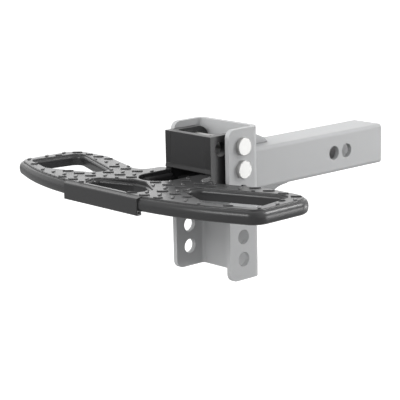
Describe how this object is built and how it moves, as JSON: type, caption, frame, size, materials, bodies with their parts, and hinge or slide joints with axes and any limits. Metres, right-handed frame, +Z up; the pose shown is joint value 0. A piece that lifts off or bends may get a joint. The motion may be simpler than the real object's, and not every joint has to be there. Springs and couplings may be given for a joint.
{
  "type": "hitch receiver step",
  "caption": "Step pad with open windows on a welded bracket, pinned in an upright channel on a square shank that slides into a vehicle's hitch receiver.",
  "frame": {"origin": "on the shank's axis at its outer hitch-pin hole", "axes": "+Y along the shank towards the vehicle, +Z up, +X across, to the side of the pins' heads"},
  "size_m": [0.4226, 0.4475, 0.181],
  "materials": {
    "grey_paint": "light grey satin paint",
    "black_coat": "black powder coat, satin",
    "black_moulding": "black fine-grained moulding with raised tread",
    "zinc": "bright zinc plate",
    "spring_wire": "plated spring wire"
  },
  "bodies": {
    "step": {"receiver_shank": "grey_paint", "height_channel": "grey_paint", "top_gusset": "grey_paint", "bottom_gusset": "grey_paint", "shank_weld": "grey_paint", "left_side_plate": "black_coat", "right_side_plate": "black_coat", "front_plate": "black_coat", "tongue_plate": "black_coat", "bracket_weld": "black_coat", "step_pad": "black_moulding", "upper_pin": "zinc", "lower_pin": "zinc", "pad_bolts": "zinc", "pad_washers": "zinc"},
    "upper_clip": {"upper_clip": "spring_wire"},
    "lower_clip": {"lower_clip": "spring_wire"}
  },
  "joints": [
    {"name": "upper_clip_pull", "type": "slide", "parent": "step", "child": "upper_clip", "axis": [0, 1, 0], "range_m": [0, 0.045], "deforming": ["upper_clip"]},
    {"name": "lower_clip_pull", "type": "slide", "parent": "step", "child": "lower_clip", "axis": [0, 1, 0], "range_m": [0, 0.045], "deforming": ["lower_clip"]}
  ]
}
